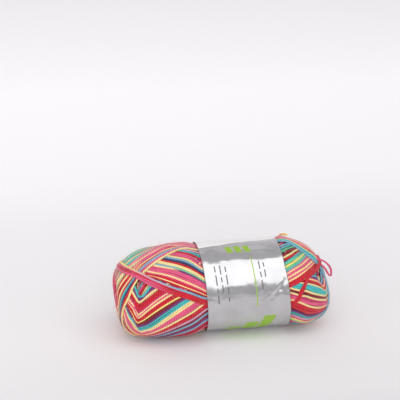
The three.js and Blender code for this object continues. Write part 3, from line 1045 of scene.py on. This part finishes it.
def crumple(x, arc, cell, seed):
    """Smooth unevenness of about one, from random heights a cell apart."""
    square = CRUMPLE_SQUARE
    grid = np.random.default_rng(seed).normal(size=(square, square))
    u, v = x / cell + CRUMPLE_START, arc / cell + CRUMPLE_START
    i, j = np.floor(u).astype(int), np.floor(v).astype(int)
    s, t = smoothstep(u - i, 0, 1), smoothstep(v - j, 0, 1)
    low = grid[i % square, j % square] * (1 - s) + grid[(i + 1) % square, j % square] * s
    high = grid[i % square, (j + 1) % square] * (1 - s) + grid[(i + 1) % square, (j + 1) % square] * s
    return low * (1 - t) + high * t


def folded(x, degrees):
    """How far the paper is pressed in by its folds, dents and crumples."""
    arc = np.radians(degrees) * WAIST
    depth = np.zeros_like(x)
    for start, end, deep, half in FOLDS:
        a = np.array((start[0], math.radians(start[1]) * WAIST))
        b = np.array((end[0], math.radians(end[1]) * WAIST))
        run = b - a
        share = np.clip(((x - a[0]) * run[0] + (arc - a[1]) * run[1]) / (run @ run), 0, 1)
        away = np.hypot(x - a[0] - share * run[0], arc - a[1] - share * run[1])
        depth += deep * np.clip(1 - away / half, 0, 1) ** FOLD_POWER
    for middle, around, half, deep in BROAD_DENTS:
        away = np.hypot(x - middle, arc - math.radians(around) * WAIST) / half
        depth += deep * np.exp(-away ** 2)
    return depth + sum(deep * np.abs(crumple(x, arc, cell, seed)) for deep, cell, seed in CRUMPLES)


def band_skin(lift):
    """Points of one side of the strip, by rows round the skein and columns along it."""
    share_round, share_along = np.meshgrid(
        np.linspace(0, 1, BAND_ROWS + 1), np.linspace(0, 1, BAND_COLUMNS + 1), indexing="ij")
    degrees = LAP_FROM + share_round * (360 + LAP)
    around = np.radians(degrees)
    left, right = band_edges(np.cos(around) * WAIST)
    x = left + (right - left) * share_along
    wrapped = (degrees + 180) % 360 - 180
    radius = girth_at(x, around) + BAND_CLEARANCE + lift - folded(x, wrapped)
    radius += LAP_RISE * smoothstep(degrees, LAP_FROM + 360 - LAP_EASE, LAP_FROM + 360)
    points = np.stack([x, -np.sin(around) * radius, np.cos(around) * radius], -1)
    return on_axis(points.reshape(-1, 3))


band_points = np.vstack([band_skin(BAND_PAPER / 2), band_skin(-BAND_PAPER / 2)])
across = BAND_COLUMNS + 1
skin_size = across * (BAND_ROWS + 1)
band_faces = []
for j in range(BAND_ROWS):
    for i in range(BAND_COLUMNS):
        a, b = j * across + i, (j + 1) * across + i
        band_faces.append((a, b, b + 1, a + 1))
        band_faces.append((skin_size + a, skin_size + a + 1, skin_size + b + 1, skin_size + b))
    a, b = j * across, (j + 1) * across
    band_faces.append((a, skin_size + a, skin_size + b, b))
    a, b = a + BAND_COLUMNS, b + BAND_COLUMNS
    band_faces.append((a, b, skin_size + b, skin_size + a))
for i in range(BAND_COLUMNS):
    band_faces.append((i, i + 1, skin_size + i + 1, skin_size + i))
    a = BAND_ROWS * across + i
    band_faces.append((a, skin_size + a, skin_size + a + 1, a + 1))
band_mesh = bpy.data.meshes.new("foil_paper_band")
band_mesh.from_pydata(band_points.tolist(), [], band_faces)
band_mesh.shade_smooth()
band_map = band_mesh.uv_layers.new(name="strip")
corners = np.zeros(len(band_mesh.loops), int)
band_mesh.loops.foreach_get("vertex_index", corners)
corners %= skin_size
band_map.data.foreach_set("uv", np.stack(
    [corners % across / BAND_COLUMNS, corners // across / BAND_ROWS], 1).ravel())


# The print: plain blocks and rules in lime green, and short grey bars in columns.
# Blocks are (x, bearing of the middle, half width, half height, lean). Columns are
# (x, bearing of the first bar, half lengths of the bars). Sizes are in millimetres.
PRINT_BLUR = 0.06
LIME_BLOCKS = (
    (24.0, 140, 4.0, 12.0, -0.35), (13.5, 146, 4.0, 9.0, -0.35), (3.0, 152, 4.0, 6.0, -0.35),
    (6.5, 20, 2.1, 2.9, 0.25), (12.5, 20, 2.1, 2.9, 0.25), (18.5, 20, 2.1, 2.9, 0.25),
    (19.5, 68, 0.35, 17.0, 0.0),
)
GREY_COLUMNS = (
    (-6.0, 44, (2.2, 3.4, 1.4, 2.8)), (-2.5, 44, (3.0, 1.6, 2.6)), (1.0, 46, (1.8, 3.2, 2.2, 1.5)),
    (24.0, 42, (2.6, 1.8, 3.0)), (27.0, 44, (1.5, 2.4)),
)
BAR_HALF = 0.42
BAR_SPACE = 1.8
# The pale panel on top is a painted reflection, and the thin grey line along its front edge is
# painted shade in the crease there. Both slant, so they are given turned: (distance round from the
# top, middle x, half height, half width, lean).
PAINTED_REFLECTION_PANEL = ((-6.6, 13.9, 10.0, 60.0, -0.12),)
PAINTED_CREASE_SHADE_LINE = ((3.5, 13.9, 0.14, 60.0, -0.12),)
FOIL = (0.65, 0.645, 0.66, 1.0)
DULL_FOIL = (0.59, 0.585, 0.60, 1.0)
PAINTED_REFLECTION_WHITE = (0.86, 0.85, 0.84, 1.0)
LIME = (0.30, 0.50, 0.045, 1.0)
GREY_INK_AND_CREASE_SHADE = (0.16, 0.16, 0.17, 1.0)
# The foil's surface: its fine grain, its creases, where handling dulled it, and how much
# less metallic and how much rougher the ink, the painted reflection and the painted crease shade are.
GRAIN = {"Scale": 900, "Detail": 4}
GRAIN_ROUGHNESS = 0.06
GRAIN_RELIEF = 0.1
CREASES = {"Scale": 170}
CREASE_WIDTH = 0.12
HANDLING = {"Scale": 70, "Detail": 3}
HANDLED = {"From Min": 0.42, "From Max": 0.66}
FOIL_ROUGHNESS = 0.20
INK_AND_PAINT_METALLIC = -0.75
INK_AND_PAINT_ROUGHNESS = 0.18
FOIL_RELIEF = {"Strength": 0.12, "Distance": 0.08 * MM}


def print_and_paint_block_group():
    """A block on the strip, for the print, the painted reflection and the painted crease shade: a rectangle
    that may lean, as a mask.
    """
    group, given, result = new_group(
        "print_and_paint_block", "ShaderNodeTree",
        [(name, "Float") for name in
         ("X", "Y", "Middle X", "Middle Y", "Half Width", "Half Height", "Lean")],
        (("Mask", "Float"),))
    maths = maths_in(group)
    down = maths("SUBTRACT", given["Y"], given["Middle Y"])
    slid = maths("MULTIPLY", down, given["Lean"])
    along = maths("SUBTRACT", maths("SUBTRACT", given["X"], given["Middle X"]), slid)
    room_x = maths("SUBTRACT", given["Half Width"], maths("ABSOLUTE", along))
    room_y = maths("SUBTRACT", given["Half Height"], maths("ABSOLUTE", down))
    mask = node_in(group, "ShaderNodeMapRange", {"Value": maths("MINIMUM", room_x, room_y),
                                                 "From Min": -PRINT_BLUR, "From Max": PRINT_BLUR})
    group.links.new(mask.outputs["Result"], result["Mask"])
    return group


print_and_paint_block = print_and_paint_block_group()


def foil_material():
    """Satin foil paper with its print, dulled in patches where it was handled, with a painted reflection
    along its top and painted shade in the crease below it.
    """
    material, tree, shader = new_material("foil_paper", {})
    maths = maths_in(tree)
    strip = node_in(tree, "ShaderNodeUVMap", uv_map="strip")
    parts = node_in(tree, "ShaderNodeSeparateXYZ", {0: strip.outputs["UV"]})
    degrees = maths("MULTIPLY_ADD", parts.outputs["Y"], 360 + LAP, LAP_FROM)
    arc = maths("MULTIPLY", degrees, math.radians(1) * WAIST)
    x = maths("MULTIPLY_ADD", parts.outputs["X"], BAND_RIGHT - BAND_LEFT, BAND_LEFT)

    def block_masks(blocks, first, second):
        """The mask of some blocks, over two ways across the strip."""
        mask = None
        for values in blocks:
            sizes = dict(zip(("Middle X", "Middle Y", "Half Width", "Half Height", "Lean"), values))
            block = node_in(tree, "ShaderNodeGroup", {"X": first, "Y": second, **sizes},
                            node_tree=print_and_paint_block).outputs["Mask"]
            mask = block if mask is None else maths("MAXIMUM", mask, block)
        return mask

    bars = []
    for middle, around, halves in GREY_COLUMNS:
        top = math.radians(around) * WAIST
        for half in halves:
            bars.append((middle, top + half, BAR_HALF, half, 0.0))
            top += 2 * half + BAR_SPACE
    blocks = [(middle, math.radians(around) * WAIST, *sizes) for middle, around, *sizes in LIME_BLOCKS]
    # The pale panel is a painted reflection, and the grey line along its edge is painted shade in a crease.
    pale = block_masks(PAINTED_REFLECTION_PANEL, arc, x)
    crease_shade_line = block_masks(PAINTED_CREASE_SHADE_LINE, arc, x)
    lime = block_masks(blocks, x, arc)
    grey = maths("MAXIMUM", crease_shade_line, block_masks(bars, x, arc))

    place = node_in(tree, "ShaderNodeTexCoord").outputs["Object"]
    grain = node_in(tree, "ShaderNodeTexNoise", {"Vector": place, **GRAIN}).outputs["Fac"]
    creases = node_in(tree, "ShaderNodeTexVoronoi", {"Vector": place, **CREASES},
                      feature="DISTANCE_TO_EDGE")
    crease_lines = node_in(tree, "ShaderNodeMapRange",
                           {"Value": creases.outputs["Distance"], "From Max": CREASE_WIDTH})
    handling = node_in(tree, "ShaderNodeTexNoise", {"Vector": place, **HANDLING})
    dulled = node_in(tree, "ShaderNodeMapRange", {"Value": handling.outputs["Fac"], **HANDLED})

    # Colours laid over the foil: dulled foil, the white of the painted reflection, lime print, and grey for
    # the print's bars and the painted crease shade.
    colour = None
    for mask, layer_colour in ((dulled.outputs["Result"], DULL_FOIL), (pale, PAINTED_REFLECTION_WHITE),
                      (lime, LIME), (grey, GREY_INK_AND_CREASE_SHADE)):
        mix = tree.nodes.new("ShaderNodeMix")
        mix.data_type = "RGBA"
        under, over = [socket for socket in mix.inputs if socket.type == "RGBA"]
        under.default_value = FOIL
        over.default_value = layer_colour
        if colour is not None:
            tree.links.new(colour, under)
        tree.links.new(mask, mix.inputs["Factor"])
        colour = next(socket for socket in mix.outputs if socket.type == "RGBA")
    tree.links.new(colour, shader.inputs["Base Color"])

    inked_and_painted = maths("MAXIMUM", maths("MAXIMUM", lime, grey), pale)
    tree.links.new(maths("MULTIPLY_ADD", inked_and_painted, INK_AND_PAINT_METALLIC, 1.0), shader.inputs["Metallic"])
    worn = maths("MULTIPLY_ADD", grain, GRAIN_ROUGHNESS, FOIL_ROUGHNESS)
    tree.links.new(maths("MULTIPLY_ADD", inked_and_painted, INK_AND_PAINT_ROUGHNESS, worn), shader.inputs["Roughness"])
    relief = maths("MULTIPLY_ADD", grain, GRAIN_RELIEF, crease_lines.outputs["Result"])
    bump = node_in(tree, "ShaderNodeBump", {"Height": relief, **FOIL_RELIEF})
    tree.links.new(bump.outputs["Normal"], shader.inputs["Normal"])
    return material


band_mesh.materials.append(foil_material())
foil_band = placed("foil_paper_band", band_mesh)
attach(foil_band, "root")
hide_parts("foil_band")


# Floor and backdrop. One sheet of pale paper that lies flat under the skein
# and sweeps up in a wide curve behind it. Its colour is graded with painted shade, darker towards the
# front.
FLOOR_HALF_WIDTH = 3.0
FLOOR_FRONT = -2.5
SWEEP_START = 0.24
SWEEP_RADIUS = 0.6
SWEEP_STEPS = 32
WALL_TOP = 2.4
PAPER_SURFACE = {"Roughness": 0.9, "Specular IOR Level": 0.1}
# How much light the paper sends back, from its front to its back: its own pale colour with painted
# shade graded in, darker towards the front and a little darker again up the back wall. (metres from
# the skein, share). Of green it sends back a little less.
PAPER_GREEN = 0.985
PAPER_PAINTED_TONES = ((-0.6, 0.30), (-0.25, 0.50), (-0.105, 0.78), (0.0, 0.85), (0.1, 0.88), (0.22, 0.92),
               (0.34, 0.97), (0.5, 0.97), (0.64, 0.82))

profile = [(FLOOR_FRONT, 0.0), (SWEEP_START, 0.0)]
for step in range(1, SWEEP_STEPS + 1):
    turn = math.radians(90 * step / SWEEP_STEPS)
    profile.append((SWEEP_START + SWEEP_RADIUS * math.sin(turn), SWEEP_RADIUS * (1 - math.cos(turn))))
profile.append((SWEEP_START + SWEEP_RADIUS, WALL_TOP))
verts = [(x, y, z) for y, z in profile for x in (-FLOOR_HALF_WIDTH, FLOOR_HALF_WIDTH)]
faces = [(2 * i, 2 * i + 1, 2 * i + 3, 2 * i + 2) for i in range(len(profile) - 1)]
paper_mesh = bpy.data.meshes.new("paper_sweep")
paper_mesh.from_pydata(verts, [], faces)
paper_mesh.shade_smooth()
paper_material, tree, paper_shader = new_material("pale_paper", PAPER_SURFACE)
place = node_in(tree, "ShaderNodeTexCoord")
parts = node_in(tree, "ShaderNodeSeparateXYZ", {0: place.outputs["Object"]})
nearest, farthest = PAPER_PAINTED_TONES[0][0], PAPER_PAINTED_TONES[-1][0]
depth = node_in(tree, "ShaderNodeMapRange",
                {"Value": parts.outputs["Y"], "From Min": nearest, "From Max": farthest})
# Painted shade: the paper's colour is graded by its distance from the skein.
tones = node_in(tree, "ShaderNodeValToRGB", {"Fac": depth.outputs["Result"]})
for index, (distance, share) in enumerate(PAPER_PAINTED_TONES):
    position = (distance - nearest) / (farthest - nearest)
    ramp = tones.color_ramp.elements
    stop = ramp[index] if index < 2 else ramp.new(position)
    stop.position = position
    stop.color = (share, share * PAPER_GREEN, share, 1.0)
tree.links.new(tones.outputs["Color"], paper_shader.inputs["Base Color"])
paper_mesh.materials.append(paper_material)
paper_sweep = placed("paper_sweep", paper_mesh)


# Lights. An even grey room, one tall softbox overhead and in front, whose reflection makes
# the white stripe along the foil, and two weak fills, from the left and from low in front.
ROOM_LIGHT = 0.535
ROOM_COLOUR = (1.0, 0.99, 1.0, 1.0)
SOFTBOX_TILT = 41.0
SOFTBOX_HEADING = 9.0
SOFTBOX_DISTANCE = 1.5
SOFTBOX_AIM = (0.0, 0.0, 0.03)
SOFTBOX_WIDTH = 2.2
SOFTBOX_LENGTH = 1.95
SOFTBOX_POWER = 14.2
# The fills: name, place, aim, width, height and power.
FILLS = (
    ("fill", (-1.3, -0.55, 0.45), (-0.05, 0.0, 0.02), 0.9, 0.8, 3.0),
    ("front_fill", (-0.35, -1.5, 0.5), (0.0, 0.0, 0.02), 1.2, 0.7, 8.0),
)

world = bpy.data.worlds.new("studio")
world.use_nodes = True
room = world.node_tree.nodes["Background"].inputs
room["Color"].default_value = ROOM_COLOUR
room["Strength"].default_value = ROOM_LIGHT
bpy.context.scene.world = world
bpy.context.scene.view_settings.view_transform = "Standard"


def panel(name, place, aim, width, height, power):
    """A soft light that the camera doesn't see, turned towards a point."""
    data = bpy.data.lights.new(name, "AREA")
    data.shape = "RECTANGLE"
    data.size = width
    data.size_y = height
    data.energy = power
    light = placed(name, data)
    light.location = place
    away = mathutils.Vector(place) - mathutils.Vector(aim)
    light.rotation_euler = away.to_track_quat("Z", "Y").to_euler()
    light.visible_camera = False
    return light


tilt = math.radians(SOFTBOX_TILT)
heading = math.radians(SOFTBOX_HEADING)
softbox_place = (
    SOFTBOX_DISTANCE * math.sin(tilt) * math.sin(heading),
    -SOFTBOX_DISTANCE * math.sin(tilt) * math.cos(heading),
    SOFTBOX_AIM[2] + SOFTBOX_DISTANCE * math.cos(tilt),
)
panel("softbox", softbox_place, SOFTBOX_AIM, SOFTBOX_WIDTH, SOFTBOX_LENGTH, SOFTBOX_POWER)
for fill in FILLS:
    panel(*fill).visible_glossy = False
